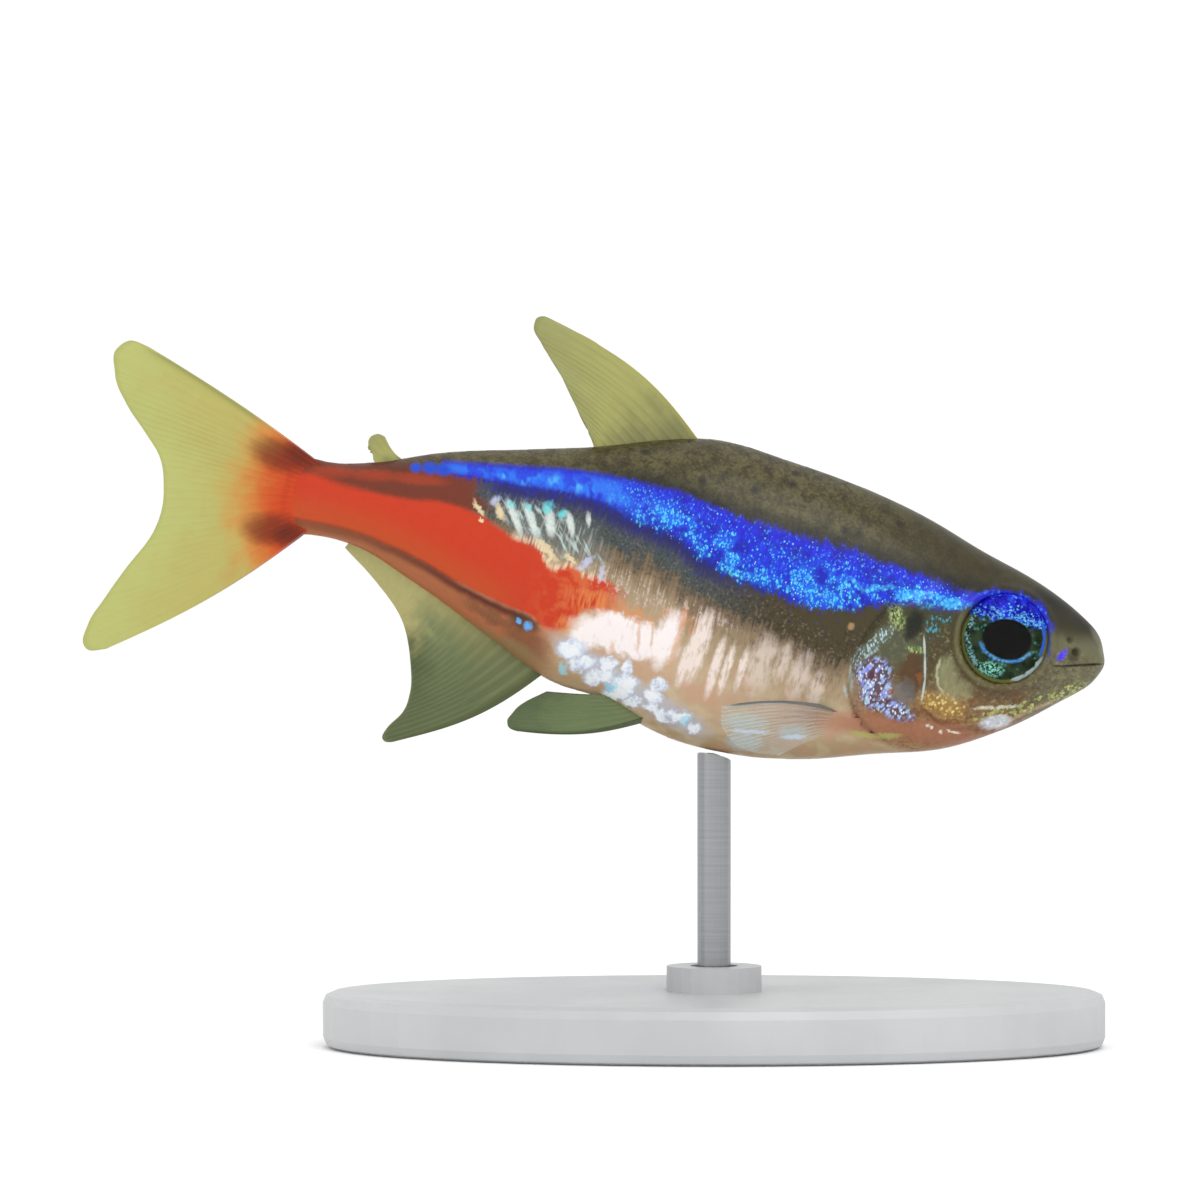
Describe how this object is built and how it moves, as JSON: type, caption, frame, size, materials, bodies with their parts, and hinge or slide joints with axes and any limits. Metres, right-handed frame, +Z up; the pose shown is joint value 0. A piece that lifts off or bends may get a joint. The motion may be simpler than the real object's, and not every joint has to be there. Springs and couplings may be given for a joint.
{
  "type": "neon tetra",
  "caption": "Life-size neon tetra swimming nose slightly down, blue stripe and red band along its side, held by a rod on an oval stand.",
  "frame": {"origin": "centre of the underside of the stand's base", "axes": "+X from the tail towards the head along the fish, +Y to the fish's left, +Z up from the surface that the stand rests on"},
  "size_m": [0.0368, 0.016, 0.0261],
  "materials": {
    "skin_back_head": "moist olive-brown skin with fine gold glitter, satin",
    "skin_jaw": "pale olive skin with green and silver glitter, satin",
    "skin_gill_cover": "silver skin with blue-violet and gold reflections, glossy",
    "skin_trunk": "fine-scaled skin: olive back, royal-blue stripe, silver and tan belly, glossy",
    "skin_tail": "fine-scaled skin: red-orange band under the blue stripe, glossy",
    "eye": "clear cornea over a black pupil and a teal, blue and olive iris, wet gloss",
    "fin_dorsal": "thin translucent olive-yellow membrane with fine rays, satin",
    "fin_anal": "thin translucent green membrane with fine rays, satin",
    "fin_tail": "thin translucent yellow-green membrane with fine rays, satin",
    "fin_paired": "thin translucent green membrane with fine rays, satin",
    "stand_base": "fine-sanded pale grey, satin",
    "stand_rod": "fine brushed, satin"
  },
  "bodies": {
    "root": {"head": "skin_back_head", "lower_jaw": "skin_jaw", "gill_cover_left": "skin_gill_cover", "gill_cover_right": "skin_gill_cover", "trunk": "skin_trunk", "tail": "skin_tail", "tail_stem": "skin_tail", "eye_left": "eye", "eye_right": "eye", "dorsal_fin": "fin_dorsal", "adipose_fin": "fin_dorsal", "tail_fin_upper": "fin_tail", "tail_fin_lower": "fin_tail", "anal_fin": "fin_anal", "pectoral_fin_left": "fin_paired", "pectoral_fin_right": "fin_paired", "pelvic_fin_left": "fin_paired", "pelvic_fin_right": "fin_paired", "stand_base": "stand_base", "stand_rod": "stand_rod"}
  },
  "joints": []
}
